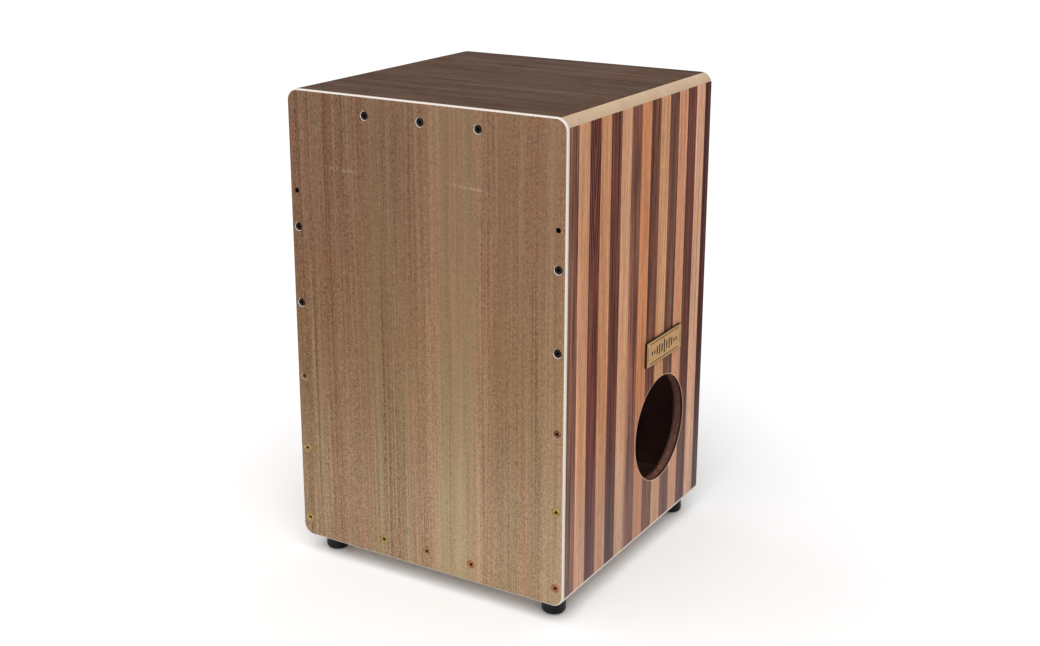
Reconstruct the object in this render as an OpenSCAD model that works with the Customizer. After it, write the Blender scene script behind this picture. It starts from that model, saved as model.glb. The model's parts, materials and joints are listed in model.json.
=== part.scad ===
// Cajon: a box drum with a screwed-on striking plate at the front (-Y), a
// sound hole in the right-hand side (+X) and a snare bar with two adjusters.
// The origin is on the floor under the middle of the box, +Z up, millimetres.

/* [Box] */
// Width of the box over its veneers
body_w = 300; // [260:1:340]
// Depth of the box behind the striking plate
body_d = 288.5; // [240:0.5:330]
// Height of the box without its feet
body_h = 454; // [400:1:520]
// Thickness of the top and bottom panels
wall = 12; // [12:0.5:16]
// Thickness of the side panels with their veneer
side_t = 10.5; // [10.5:0.5:14]
// Radius of the four long edges of the box
corner_r = 11.5; // [6:0.5:12]
// Thickness of the veneer on the top, sides and back
veneer_t = 0.4; // [0.3:0.1:0.8]
// Thickness of the back panel
back_t = 6; // [4:0.5:9]
// Gap of glue around the back panel
glue_gap = 0.2; // [0.1:0.1:0.5]

/* [Stripes] */
// Width of one stripe of the side veneer
strip_w = 19.9; // [12:0.1:30]
// Width of the narrower first stripe, next to the striking plate
first_strip_w = 16.5; // [8:0.5:20]

/* [Battens] */
// Height of the front battens that take the top and bottom screws
front_batten_h = 12; // [12:0.5:20]
// Depth of the front battens
front_batten_d = 18; // [15:0.5:24]
// Side of the square battens behind the back panel's edge
rear_batten = 12; // [8:0.5:16]

/* [Striking plate] */
// Thickness of the plate with its face veneer
tapa_t = 4; // [3:0.1:5]
// Thickness of the face veneer
face_veneer_t = 0.5; // [0.3:0.1:0.8]
// Width of the eased edge all round the face
arris = 1.5; // [0.8:0.1:2.5]

/* [Plate screws] */
// Diameter of a screw head
head_d = 8; // [6:0.1:9]
// Diameter of a screw shank
shank_d = 3.5; // [3:0.1:4]
// Length of a screw
screw_l = 16; // [12:0.5:17]
// Diameter of the countersink at the face
sink_d = 9.4; // [9:0.1:11]
// Gap between a screw and its hole
screw_fit = 0.05; // [0.02:0.01:0.15]
// Distance of the side screws from the edge of the plate
side_inset = 8; // [6:0.5:9]
// Distance of the top and bottom screws from the edge of the plate
end_inset = 18; // [17:0.5:20]
// Spacing of the three top screws
top_pitch = 61; // [40:1:90]
// Spacing of the three bottom screws
bottom_pitch = 50.5; // [40:0.5:90]
// Height of the lowest side screw above the bottom of the box
side_first_z = 18.5; // [16:0.5:30]
// Spacing of the five side screws
side_pitch = 75.8; // [60:0.1:80]

/* [Sound hole] */
// Diameter of the sound hole
hole_d = 108.5; // [80:0.5:130]
// Distance of its centre in front of the rear edge
hole_rear = 96; // [80:0.5:130]
// Height of its centre above the bottom of the box
hole_z = 110; // [90:0.5:160]

/* [Name plate] */
// Length of the name plate
plate_l = 77; // [40:1:110]
// Height of the name plate
plate_h = 26; // [15:1:40]
// Thickness of the name plate
plate_t = 2.5; // [1:0.5:4]
// Radius of the name plate's corners
plate_r = 1.5; // [0.5:0.5:6]
// Gap between the top of the sound hole and the name plate
plate_gap = 19.5; // [5:0.5:60]

/* [Feet] */
// Height of a rubber foot
foot_h = 19; // [14:0.5:24]
// Diameter of a foot where it meets the box
foot_top_d = 25; // [24:0.5:40]
// Diameter of a foot at the floor
foot_base_d = 23; // [21:0.5:36]
// Radius of the lower edge of a foot
foot_edge_r = 4; // [1:0.5:4]
// Distance of a foot's axis from the side of the box
foot_side = 23; // [20:0.5:60]
// Distance of the front feet's axes behind the front of the box
foot_front = 21; // [18:0.5:60]
// Distance of the rear feet's axes in front of the rear of the box
foot_rear = 14; // [13:0.5:60]
// Diameter of the recess for the foot screw
recess_d = 11; // [10.5:0.1:12]
// Rubber left above the recess
foot_web = 7; // [5:0.5:8]
// Diameter of the foot screw's shank
foot_shank_d = 4; // [3:0.1:5]
// Length of the foot screw under its head
foot_screw_l = 17; // [14:0.5:17]
// Thickness of the washer
washer_t = 1; // [0.8:0.1:1.5]
// Outer diameter of the washer
washer_d = 10; // [8.5:0.5:10.5]

/* [Snare adjusters] */
// Height of the adjusters above the bottom of the box
adjust_z = 357; // [345:0.5:360]
// Diameter of the key hole through the striking plate
key_hole_d = 5; // [4.8:0.1:5.5]
// Thread diameter of an adjuster bolt
bolt_d = 5; // [4:0.5:6]
// Head diameter of an adjuster bolt
bolt_head_d = 8.5; // [7:0.1:8.5]
// Head height of an adjuster bolt
bolt_head_h = 5; // [4:0.1:5]
// Length of bolt left behind the snare bar when it is backed right off
bolt_spare = 4; // [2:0.5:6]
// Size across the flats of the hexagon socket
key_af = 4; // [3:0.5:4]
// Gap in front of the bolt head and in front of its bracket
bolt_gap = 0.3; // [0.2:0.1:0.5]
// Running clearance of the bolt in the snare bar, on the radius
thread_fit = 0.05; // [0.02:0.01:0.1]
// How far the snare bar backs off the plate
snare_travel = 3.2; // [1:0.1:4]

/* [Snare] */
// Thickness of the steel snare bar
bar_t = 3; // [2.5:0.5:3]
// Height of the snare bar
bar_h = 16; // [14:0.5:16]
// Gap between the snare wires and the plate when engaged
wire_gap = 0.3; // [0.2:0.1:0.6]
// Diameter of a coiled snare wire
wire_d = 2.2; // [1.6:0.1:2.6]
// Length of a snare wire
wire_l = 64; // [30:1:68]
// Number of wires in a set
wire_count = 12; // [6:1:14]
// Spacing of the wires
wire_pitch = 3.2; // [2.8:0.1:4]
// Distance of a wire set from the middle of the drum
snare_x = 82; // [40:1:95]
// Thickness of the plate that the wires are soldered to
clip_t = 1; // [0.6:0.1:1.5]
// Thickness of the wooden packer behind each wire set
packer_t = 3.8; // [3.6:0.1:5]
// Spacing of the two screws of a wire set
clip_pitch = 24; // [16:1:30]

/* [Hidden] */
$fn = 64;

// planes of the box
half_w = body_w / 2;
inner_x = half_w - side_t;
panel_x = half_w - veneer_t;
base_z = foot_h;
top_z = base_z + body_h;
mid_z = base_z + body_h / 2;
face_y = -(body_d + tapa_t) / 2;
front_y = face_y + tapa_t;
rear_y = front_y + body_d;
back_front_y = rear_y - veneer_t - back_t;
cut = 1;

// places of the plate screws, as [x, z]
side_x = half_w - side_inset;
top_places = [for (i = [-1:1]) [i * top_pitch, top_z - end_inset]];
bottom_places = [for (i = [-1:1]) [i * bottom_pitch, base_z + end_inset]];
side_z = [for (i = [0:4]) base_z + side_first_z + i * side_pitch];
left_places = [for (z = side_z) [-side_x, z]];
right_places = [for (z = side_z) [side_x, z]];

// screw head and countersink share one 90 degree cone
head_r = head_d / 2;
shank_r = shank_d / 2;
sink_r = sink_d / 2;
head_sink = sink_r - head_r - screw_fit;
screw_hole_r = shank_r + screw_fit;
screw_tip = 3;
cross_l = 4.4;
cross_w = 0.9;
cross_h = 1.7;

// side stripes, numbered from the front
strip_count = 1 + ceil((body_d - first_strip_w) / strip_w);
function strip_start(i) = front_y + (i == 0 ? 0 : first_strip_w + (i - 1) * strip_w);
function strip_end(i) = min(rear_y, front_y + first_strip_w + i * strip_w);

// sound hole, name plate and feet
hole_y = rear_y - hole_rear;
hole_at_z = base_z + hole_z;
plate_z = hole_at_z + hole_d / 2 + plate_gap + plate_h / 2;
foot_x = half_w - foot_side;
foot_front_y = front_y + foot_front;
foot_rear_y = rear_y - foot_rear;
recess_top = foot_h - foot_web;
foot_hole_r = foot_shank_d / 2 + screw_fit;
foot_places = [for (x = [-foot_x, foot_x], y = [foot_front_y, foot_rear_y]) [x, y]];

// snare bar and wire sets, from the plate backward
bolt_x = side_x;
bolt_z = base_z + adjust_z;
notch_skin = 3;
notch_x = half_w - notch_skin;
wire_y = front_y + wire_gap + wire_d / 2;
solder = 0.2;
clip_y = front_y + wire_gap + wire_d - solder;
packer_y = clip_y + clip_t;
bar_y = packer_y + packer_t;
bar_z = bolt_z - bar_h / 2;
bar_x = notch_x - 0.6;
clip_w = (wire_count - 1) * wire_pitch + 5;
wire_z = bolt_z + 1.5;
clip_screw_z = bar_z + 4;
clip_screw_d = 3;
clip_head_d = 5.4;
clip_head_h = 1.5;

// adjusters: bolt, bracket and notch, behind the back face of the plate
bolt_y = front_y + bolt_gap;
bolt_shank_y = bolt_y + bolt_head_h;
bolt_end_y = bar_y + bar_t + snare_travel + bolt_spare;
flange_t = 1;
flange_y = bolt_shank_y + bolt_gap;
notch_h = bar_h + 2;
notch_end_y = bolt_end_y + 1.2;
bracket_fit = 0.4;
bracket_x = inner_x - 8;
leg_t = 1.2;
leg_d = 22;
leg_z = bolt_z + notch_h / 2 + 2;
leg_h = 18;
bracket_screw_d = 3;
bracket_screw_l = 9;
bracket_screw_y = [flange_y + 5, flange_y + 12];

// --- outlines ---

// rounded rectangle about the origin
module round_rect(w, h, r) {
    square([w, h - 2 * r], center = true);
    square([w - 2 * r, h], center = true);
    for (x = [-1, 1], y = [-1, 1])
        translate([x * (w / 2 - r), y * (h / 2 - r)])
            circle(r);
}

// outline of the box in X and Z
module box_outline() {
    translate([0, mid_z])
        round_rect(body_w, body_h, corner_r);
}

// the part of the box outline that is board, with the veneers taken off
module board_outline() {
    intersection() {
        box_outline();
        translate([-panel_x, base_z])
            square([2 * panel_x, body_h - veneer_t]);
    }
}

// extrudes an outline given in X and Z from y0 to y1
module along_y(y0, y1) {
    translate([0, y1, 0])
        rotate([90, 0, 0])
            linear_extrude(y1 - y0)
                children();
}

// a box given by its two corners
module block(low, high) {
    translate(low)
        cube(high - low);
}

// cylinder along +Y from y0 to y1
module rod_y(x, z, r, y0, y1) {
    translate([x, y0, z])
        rotate([-90, 0, 0])
            cylinder(r = r, h = y1 - y0);
}

// slab whose front edge is bevelled all round, growing from w1 x h1 to w2 x h2
module bevel_slab(y0, y1, grow0, grow1) {
    w = half_w - corner_r;
    h = body_h / 2 - corner_r;
    t = y1 - y0;
    r0 = corner_r - grow0;
    r1 = corner_r - grow1;
    translate([0, y0, mid_z])
        rotate([-90, 0, 0]) {
            for (x = [-w, w], z = [-h, h])
                translate([x, z, 0])
                    cylinder(r1 = r0, r2 = r1, h = t);
            rotate([90, 0, 0])
                translate([0, 0, -h])
                    linear_extrude(2 * h)
                        polygon([[-w - r0, 0], [w + r0, 0], [w + r1, t], [-w - r1, t]]);
            rotate([90, 0, 90])
                translate([0, 0, -w])
                    linear_extrude(2 * w)
                        polygon([[-h - r0, 0], [h + r0, 0], [h + r1, t], [-h - r1, t]]);
        }
}

// --- holes ---

// countersunk hole through the plate and on into the wood behind it
module tapa_screw_hole(place) {
    translate([place[0], face_y, place[1]])
        rotate([-90, 0, 0]) {
            translate([0, 0, -cut])
                cylinder(r1 = sink_r + cut, r2 = screw_hole_r, h = sink_r - screw_hole_r + cut);
            cylinder(r = screw_hole_r, h = head_sink + screw_l + 0.5);
        }
}

module sound_hole() {
    translate([inner_x - cut, hole_y, hole_at_z])
        rotate([0, 90, 0])
            cylinder(d = hole_d, h = side_t + 2 * cut, $fn = 128);
}

// --- box ---

module top_panel() {
    color("tan")
        along_y(front_y, rear_y)
            intersection() {
                board_outline();
                translate([-half_w, top_z - wall])
                    square([body_w, wall]);
            }
}

module bottom_panel() {
    color("tan")
        difference() {
            along_y(front_y, rear_y)
                intersection() {
                    board_outline();
                    translate([-half_w, base_z])
                        square([body_w, wall]);
                }
            for (p = foot_places)
                translate([p[0], p[1], base_z - cut])
                    cylinder(r = foot_hole_r, h = foot_screw_l - foot_web - washer_t + 0.5 + cut);
        }
}

// the right-hand side panel without its sound hole
module side_board() {
    difference() {
        block([inner_x, front_y, base_z + wall], [panel_x, rear_y, top_z - wall]);
        for (p = right_places)
            tapa_screw_hole(p);
        block([inner_x - cut, front_y - cut, bolt_z - notch_h / 2],
              [notch_x, notch_end_y, bolt_z + notch_h / 2]);
        for (y = bracket_screw_y)
            translate([inner_x - cut, y, leg_z + leg_h / 2])
                rotate([0, 90, 0])
                    cylinder(r = bracket_screw_d / 2 + screw_fit, h = bracket_screw_l + cut);
    }
}

module left_side_panel() {
    color("tan")
        mirror([1, 0, 0])
            side_board();
}

module right_side_panel() {
    color("saddlebrown")
        difference() {
            side_board();
            sound_hole();
        }
}

module back_panel() {
    x = inner_x - glue_gap;
    color("tan")
        block([-x, back_front_y, base_z + wall + glue_gap],
              [x, rear_y - veneer_t, top_z - wall - glue_gap]);
}

module back_veneer() {
    x = inner_x - glue_gap;
    color("dimgray")
        block([-x, rear_y - veneer_t, base_z + wall + glue_gap],
              [x, rear_y, top_z - wall - glue_gap]);
}

module top_veneer() {
    color("dimgray")
        along_y(front_y, rear_y)
            intersection() {
                box_outline();
                translate([-half_w, top_z - veneer_t])
                    square([body_w, veneer_t]);
            }
}

// --- striped side veneer ---

// one stripe of the right-hand side, feathered into the round-over
module strip(i) {
    along_y(strip_start(i), strip_end(i))
        intersection() {
            box_outline();
            translate([panel_x, base_z])
                square([veneer_t, body_h]);
        }
}

// every second stripe, from the first one on for dark ones
module strips(first) {
    for (i = [first:2:strip_count - 1])
        strip(i);
}

module left_dark_strips() {
    color("sienna")
        mirror([1, 0, 0])
            strips(0);
}

module left_light_strips() {
    color("burlywood")
        mirror([1, 0, 0])
            strips(1);
}

module right_dark_strips() {
    color("sienna")
        difference() {
            strips(0);
            sound_hole();
        }
}

module right_light_strips() {
    color("burlywood")
        difference() {
            strips(1);
            sound_hole();
        }
}

// --- battens ---

module front_batten(z0, places) {
    difference() {
        block([-inner_x, front_y, z0], [inner_x, front_y + front_batten_d, z0 + front_batten_h]);
        for (p = places)
            tapa_screw_hole(p);
    }
}

module front_top_batten() {
    color("burlywood")
        front_batten(top_z - wall - front_batten_h, top_places);
}

module front_bottom_batten() {
    color("burlywood")
        front_batten(base_z + wall, bottom_places);
}

module rear_cross_batten(z0) {
    block([-inner_x, back_front_y - rear_batten, z0], [inner_x, back_front_y, z0 + rear_batten]);
}

module rear_upright_batten() {
    block([inner_x - rear_batten, back_front_y - rear_batten, base_z + wall + rear_batten],
          [inner_x, back_front_y, top_z - wall - rear_batten]);
}

module rear_top_batten() {
    color("burlywood")
        rear_cross_batten(top_z - wall - rear_batten);
}

module rear_bottom_batten() {
    color("burlywood")
        rear_cross_batten(base_z + wall);
}

module rear_left_batten() {
    color("burlywood")
        mirror([1, 0, 0])
            rear_upright_batten();
}

module rear_right_batten() {
    color("burlywood")
        rear_upright_batten();
}

// --- striking plate ---

// the holes through the plate: sixteen countersunk ones and two for the key
module tapa_holes() {
    for (p = concat(top_places, bottom_places, left_places, right_places))
        tapa_screw_hole(p);
    for (x = [-bolt_x, bolt_x])
        rod_y(x, bolt_z, key_hole_d / 2, face_y - cut, front_y + cut);
}

module tapa_core() {
    color("linen")
        difference() {
            union() {
                bevel_slab(face_y + face_veneer_t, face_y + arris, arris - face_veneer_t, 0);
                along_y(face_y + arris, front_y)
                    box_outline();
            }
            tapa_holes();
        }
}

module tapa_veneer() {
    color("peru")
        difference() {
            bevel_slab(face_y, face_y + face_veneer_t, arris, arris - face_veneer_t);
            tapa_holes();
        }
}

// countersunk screw with a cross recess, head toward -Y
module tapa_screw(place, turn) {
    translate([place[0], face_y + head_sink, place[1]])
        rotate([-90, 0, 0])
            difference() {
                rotate_extrude()
                    polygon([
                        [0, 0], [head_r, 0], [shank_r, head_r - shank_r],
                        [shank_r, screw_l - screw_tip], [0, screw_l]
                    ]);
                for (a = [0, 90])
                    rotate(turn + a)
                        translate([-cross_l / 2, -cross_w / 2, -cut])
                            cube([cross_l, cross_w, cross_h + cut]);
            }
}

// a row of screws, each left at its own angle
module tapa_screws(places, turn) {
    for (i = [0:len(places) - 1])
        tapa_screw(places[i], turn + 37 * i);
}

module top_tapa_screws() {
    color("black")
        tapa_screws(top_places, 12);
}

module left_tapa_screws() {
    color("darkgoldenrod")
        tapa_screws(left_places, 30);
}

module right_tapa_screws() {
    color("darkgoldenrod")
        tapa_screws(right_places, 52);
}

module bottom_tapa_screws() {
    color("darkgoldenrod")
        tapa_screws(bottom_places, 71);
}

// --- name plate ---

module name_plate() {
    color("goldenrod")
        translate([half_w, hole_y, plate_z])
            rotate([90, 0, 90])
                linear_extrude(plate_t)
                    round_rect(plate_l, plate_h, plate_r);
}

// --- feet ---

// tapered foot with a rounded lower edge and a recess for its screw
module foot(x, y) {
    side = (foot_top_d - foot_base_d) / 2;
    arc = [for (a = [0:15:90]) [
        foot_base_d / 2 - foot_edge_r * (1 - sin(a)),
        foot_edge_r * (1 - cos(a))
    ]];
    color("black")
        translate([x, y, 0])
            difference() {
                rotate_extrude()
                    polygon(concat(
                        [[0, 0]], arc,
                        [[foot_base_d / 2 + side, foot_h], [0, foot_h]]
                    ));
                translate([0, 0, -cut])
                    cylinder(d = recess_d, h = recess_top + cut);
                cylinder(r = foot_hole_r, h = foot_h + cut);
            }
}

module foot_front_left() {
    foot(-foot_x, foot_front_y);
}

module foot_front_right() {
    foot(foot_x, foot_front_y);
}

module foot_rear_left() {
    foot(-foot_x, foot_rear_y);
}

module foot_rear_right() {
    foot(foot_x, foot_rear_y);
}

module foot_washers() {
    color("silver")
        for (p = foot_places)
            translate([p[0], p[1], recess_top - washer_t])
                difference() {
                    cylinder(d = washer_d, h = washer_t);
                    translate([0, 0, -cut])
                        cylinder(r = foot_hole_r, h = washer_t + 2 * cut);
                }
}

// domed screw heads under the washers, tips in the bottom panel
module foot_screws() {
    r = foot_shank_d / 2;
    color("silver")
        for (p = foot_places)
            translate([p[0], p[1], recess_top - washer_t])
                difference() {
                    rotate_extrude()
                        polygon([
                            [0, -2.4], [2.6, -2.2], [3.7, -1.2], [4, 0], [r, 0],
                            [r, foot_screw_l - screw_tip], [0, foot_screw_l]
                        ]);
                    for (a = [20, 110])
                        rotate(a)
                            translate([-cross_l / 2, -cross_w / 2, -2.4 - cut])
                                cube([cross_l, cross_w, 1.3 + cut]);
                }
}

// --- snare ---

module snare_bar() {
    color("silver")
        difference() {
            block([-bar_x, bar_y, bar_z], [bar_x, bar_y + bar_t, bar_z + bar_h]);
            for (x = [-bolt_x, bolt_x])
                rod_y(x, bolt_z, bolt_d / 2 + thread_fit, bar_y - cut, bar_y + bar_t + cut);
            clip_holes();
        }
}

// the four holes for the screws of the wire sets
module clip_holes() {
    for (x = [-snare_x, snare_x], s = [-1, 1])
        rod_y(x + s * clip_pitch / 2, clip_screw_z, clip_screw_d / 2 + screw_fit,
              clip_y - cut, bar_y + bar_t + cut);
}

module snare_packers() {
    color("burlywood")
        difference() {
            for (x = [-snare_x, snare_x])
                block([x - clip_w / 2, packer_y, bar_z], [x + clip_w / 2, bar_y, bar_z + bar_h]);
            clip_holes();
        }
}

// a row of coiled wires soldered to their clip plate
module wire_set(x) {
    first = x - (wire_count - 1) * wire_pitch / 2;
    difference() {
        block([x - clip_w / 2, clip_y, bar_z], [x + clip_w / 2, packer_y, bar_z + bar_h]);
        clip_holes();
    }
    for (i = [0:wire_count - 1])
        translate([first + i * wire_pitch, wire_y, wire_z])
            cylinder(d = wire_d, h = wire_l, $fn = 24);
}

module left_snare_wires() {
    color("gainsboro")
        wire_set(-snare_x);
}

module right_snare_wires() {
    color("gainsboro")
        wire_set(snare_x);
}

module snare_clip_screws() {
    color("silver")
        for (x = [-snare_x, snare_x], s = [-1, 1]) {
            rod_y(x + s * clip_pitch / 2, clip_screw_z, clip_head_d / 2, clip_y - clip_head_h, clip_y);
            rod_y(x + s * clip_pitch / 2, clip_screw_z, clip_screw_d / 2, clip_y, bar_y + bar_t);
        }
}

// --- adjusters ---

// socket head bolt held between the plate and its bracket
module adjuster(x) {
    color("dimgray")
        difference() {
            union() {
                rod_y(x, bolt_z, bolt_head_d / 2, bolt_y, bolt_shank_y);
                rod_y(x, bolt_z, bolt_d / 2, bolt_shank_y, bolt_end_y);
            }
            translate([x, bolt_y - cut, bolt_z])
                rotate([-90, 0, 0])
                    cylinder(d = key_af / cos(30), h = bolt_head_h / 2 + cut, $fn = 6);
        }
}

module left_adjuster() {
    adjuster(-bolt_x);
}

module right_adjuster() {
    adjuster(bolt_x);
}

// angle bracket: flange behind the bolt head, leg screwed to the side panel
module bracket() {
    difference() {
        union() {
            block([bracket_x, flange_y, bar_z],
                  [notch_x - bracket_fit, flange_y + flange_t, bar_z + bar_h]);
            block([bracket_x, flange_y, bar_z + bar_h], [inner_x, flange_y + flange_t, leg_z + leg_h]);
            block([inner_x - leg_t, flange_y, leg_z], [inner_x, front_y + leg_d, leg_z + leg_h]);
        }
        rod_y(bolt_x, bolt_z, bolt_d / 2 + bolt_gap, flange_y - cut, flange_y + flange_t + cut);
        for (y = bracket_screw_y)
            translate([inner_x - leg_t - cut, y, leg_z + leg_h / 2])
                rotate([0, 90, 0])
                    cylinder(r = bracket_screw_d / 2 + screw_fit, h = leg_t + 2 * cut);
    }
}

module left_adjuster_bracket() {
    color("silver")
        mirror([1, 0, 0])
            bracket();
}

module right_adjuster_bracket() {
    color("silver")
        bracket();
}

module bracket_screws() {
    color("silver")
        for (side = [0, 1], y = bracket_screw_y)
            mirror([side, 0, 0])
                translate([inner_x - leg_t, y, leg_z + leg_h / 2])
                    rotate([0, 90, 0])
                        rotate_extrude()
                            polygon([
                                [0, -1.6], [2, -1.4], [2.7, 0], [bracket_screw_d / 2, 0],
                                [bracket_screw_d / 2, bracket_screw_l - 2], [0, bracket_screw_l]
                            ]);
}

top_panel();
bottom_panel();
left_side_panel();
right_side_panel();
back_panel();
back_veneer();
top_veneer();
left_dark_strips();
left_light_strips();
right_dark_strips();
right_light_strips();
front_top_batten();
front_bottom_batten();
rear_top_batten();
rear_bottom_batten();
rear_left_batten();
rear_right_batten();
tapa_core();
tapa_veneer();
top_tapa_screws();
left_tapa_screws();
right_tapa_screws();
bottom_tapa_screws();
name_plate();
foot_front_left();
foot_front_right();
foot_rear_left();
foot_rear_right();
foot_washers();
foot_screws();
snare_bar();
snare_packers();
left_snare_wires();
right_snare_wires();
snare_clip_screws();
left_adjuster();
right_adjuster();
left_adjuster_bracket();
right_adjuster_bracket();
bracket_screws();
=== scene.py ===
import json
import math

import bmesh
import bpy
from mathutils import Matrix, Vector


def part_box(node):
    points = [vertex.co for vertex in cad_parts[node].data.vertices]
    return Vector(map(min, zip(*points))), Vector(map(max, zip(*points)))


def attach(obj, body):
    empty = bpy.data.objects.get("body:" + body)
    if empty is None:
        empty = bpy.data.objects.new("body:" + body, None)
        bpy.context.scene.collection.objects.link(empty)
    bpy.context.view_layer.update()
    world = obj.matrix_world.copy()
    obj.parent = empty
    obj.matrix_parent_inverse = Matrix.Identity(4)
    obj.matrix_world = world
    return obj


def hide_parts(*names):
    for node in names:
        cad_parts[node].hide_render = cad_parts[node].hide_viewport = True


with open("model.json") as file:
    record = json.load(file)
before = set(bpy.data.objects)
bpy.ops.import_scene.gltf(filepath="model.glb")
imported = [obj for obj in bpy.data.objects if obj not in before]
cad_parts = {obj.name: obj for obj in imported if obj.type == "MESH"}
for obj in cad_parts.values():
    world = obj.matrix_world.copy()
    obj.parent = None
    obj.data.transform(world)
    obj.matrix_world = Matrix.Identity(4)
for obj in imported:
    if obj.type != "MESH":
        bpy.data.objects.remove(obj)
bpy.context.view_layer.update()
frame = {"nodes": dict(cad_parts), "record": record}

mm = 0.001
nodes = frame["nodes"]


# where things are, read from the frame

def corners(node):
    low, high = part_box(node)
    return Vector(low), Vector(high)


def middle(node):
    low, high = corners(node)
    return (low + high) / 2


def spread(low, high, count):
    return [low + (high - low) * i / (count - 1) for i in range(count)]


boardLow, boardHigh = corners("top_panel")
drum = {
    "frontY": boardLow.y,
    "rearY": boardHigh.y,
    "innerX": corners("rear_top_batten")[1].x,
    "innerLow": corners("rear_bottom_batten")[0].z,
    "innerHigh": corners("rear_top_batten")[1].z,
    "bottom": corners("tapa_core")[0].z,
    "halfWidth": corners("tapa_core")[1].x,
    "cornerRadius": 11.5 * mm,
}
mounts = {m["name"]: m for m in frame["record"]["mounts"]}
holeMount = mounts["sound_hole"]
soundHole = {
    "y": holeMount["pos_m"][1],
    "z": holeMount["pos_m"][2],
    "radius": holeMount["dims"]["r_mm"] * mm,
}
print("frame loaded:", len(nodes), "CAD nodes")


# node helpers

desk = {}  # the material and the node tree being built


def put(kind, inputs=None, **settings):
    tree = desk["tree"]
    node = tree.nodes.new(kind)
    for key, value in settings.items():
        setattr(node, key, value)
    for key, value in (inputs or {}).items():
        if isinstance(value, bpy.types.NodeSocket):
            tree.links.new(value, node.inputs[key])
        else:
            node.inputs[key].default_value = value
    return node


def calc(operation, a, b=0.0, c=0.0, clamp=False):
    inputs = {0: a, 1: b, 2: c}
    return put("ShaderNodeMath", inputs, operation=operation, use_clamp=clamp).outputs[0]


def plus(a, b):
    return calc("ADD", a, b)


def minus(a, b, clamp=False):
    return calc("SUBTRACT", a, b, clamp=clamp)


def times(a, b):
    return calc("MULTIPLY", a, b)


def layer(mask, gain, base):
    # gain times the mask, laid over base
    return calc("MULTIPLY_ADD", mask, gain, base)


def fit(value, fromLow, fromHigh, toLow=0.0, toHigh=1.0, how="LINEAR"):
    inputs = {"Value": value, 1: fromLow, 2: fromHigh, 3: toLow, 4: toHigh}
    return put("ShaderNodeMapRange", inputs, interpolation_type=how).outputs[0]


def soft(value, low, high):
    return fit(value, low, high, how="SMOOTHSTEP")


def stretched(vector, by):
    return put("ShaderNodeVectorMath", {0: vector, 1: by}, operation="MULTIPLY").outputs[0]


def scaled(vector, by):
    return put("ShaderNodeVectorMath", {0: vector, "Scale": by}, operation="SCALE").outputs[0]


def moved(vector, by):
    return put("ShaderNodeVectorMath", {0: vector, 1: by}, operation="ADD").outputs[0]


def axisOf(vector):
    return put("ShaderNodeSeparateXYZ", {0: vector}).outputs


def rgba(colour):
    return (*colour[:3], 1.0)


def screen(r, g, b):
    # a colour as a screen shows it, 0 to 255, made linear
    return tuple(((v / 255 + 0.055) / 1.055) ** 2.4 for v in (r, g, b))


def grey(v):
    return (v, v, v)


def blend(factor, a, b, how="MIX"):
    a, b = (rgba(v) if isinstance(v, tuple) else v for v in (a, b))
    return put("ShaderNodeMix", {0: factor, 6: a, 7: b}, data_type="RGBA", blend_type=how).outputs[2]


def noise(vector, scale, detail=2.0, roughness=0.5, distortion=0.0):
    inputs = {
        "Vector": vector, "Scale": scale, "Detail": detail,
        "Roughness": roughness, "Distortion": distortion,
    }
    return put("ShaderNodeTexNoise", inputs).outputs["Fac"]


def ramp(value, stops, how="LINEAR"):
    node = put("ShaderNodeValToRGB", {0: value})
    node.color_ramp.interpolation = how
    band = node.color_ramp.elements
    while len(band) > 1:
        band.remove(band[0])
    band[0].position, band[0].color = stops[0][0], rgba(stops[0][1])
    for place, colour in stops[1:]:
        band.new(place).color = rgba(colour)
    return node.outputs["Color"]


# shared effects, each one a node group

def startGroup(name, **inputs):
    tree = desk["tree"] = bpy.data.node_groups.new(name, "ShaderNodeTree")
    for label, value in {"Vector": (0, 0, 0), **inputs}.items():
        kind = "Vector" if isinstance(value, tuple) else "Float"
        made = tree.interface.new_socket(label, in_out="INPUT", socket_type="NodeSocket" + kind)
        made.default_value = value
    return tree.nodes.new("NodeGroupInput").outputs


def endGroup(results):
    tree = desk["tree"]
    for label in results:
        tree.interface.new_socket(label, in_out="OUTPUT", socket_type="NodeSocketFloat")
    ends = tree.nodes.new("NodeGroupOutput").inputs
    for label, value in results.items():
        tree.links.new(value, ends[label])
    return tree


def grainGroup():
    given = startGroup("woodGrain", Stretch=(1, 1, 0.02), Size=500.0)
    vector, stretch, size = (given[key] for key in ("Vector", "Stretch", "Size"))
    along = stretched(vector, stretch)
    lines = noise(along, size, 4.0, 0.65, 0.4)
    bands = noise(along, times(size, 0.14), 2.0, 0.5, 0.6)
    # pores are short flecks, so they stretch far less along the grain
    fleck = scaled(stretched(stretch, scaled(moved(stretch, (1, 1, 1)), 0.5)), 4.0)
    pores = noise(stretched(vector, fleck), times(size, 1.3), 2.0, 0.6)
    rings = put("ShaderNodeTexWave", {
        "Vector": along, "Scale": times(size, 0.05), "Distortion": 9.0,
        "Detail": 2.0, "Detail Scale": 0.8, "Detail Roughness": 0.5,
    })
    return endGroup({
        "Lines": fit(lines, 0.34, 0.66), "Bands": fit(bands, 0.3, 0.7),
        "Pores": soft(pores, 0.58, 0.72), "Figure": rings.outputs["Fac"],
    })


def fibreGroup():
    given = startGroup("pressedFibre", Size=900.0)
    specks = noise(given["Vector"], given["Size"], 3.0, 0.7)
    clouds = noise(given["Vector"], times(given["Size"], 0.05), 2.0)
    return endGroup({"Specks": fit(specks, 0.3, 0.7), "Clouds": fit(clouds, 0.35, 0.65)})


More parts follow.
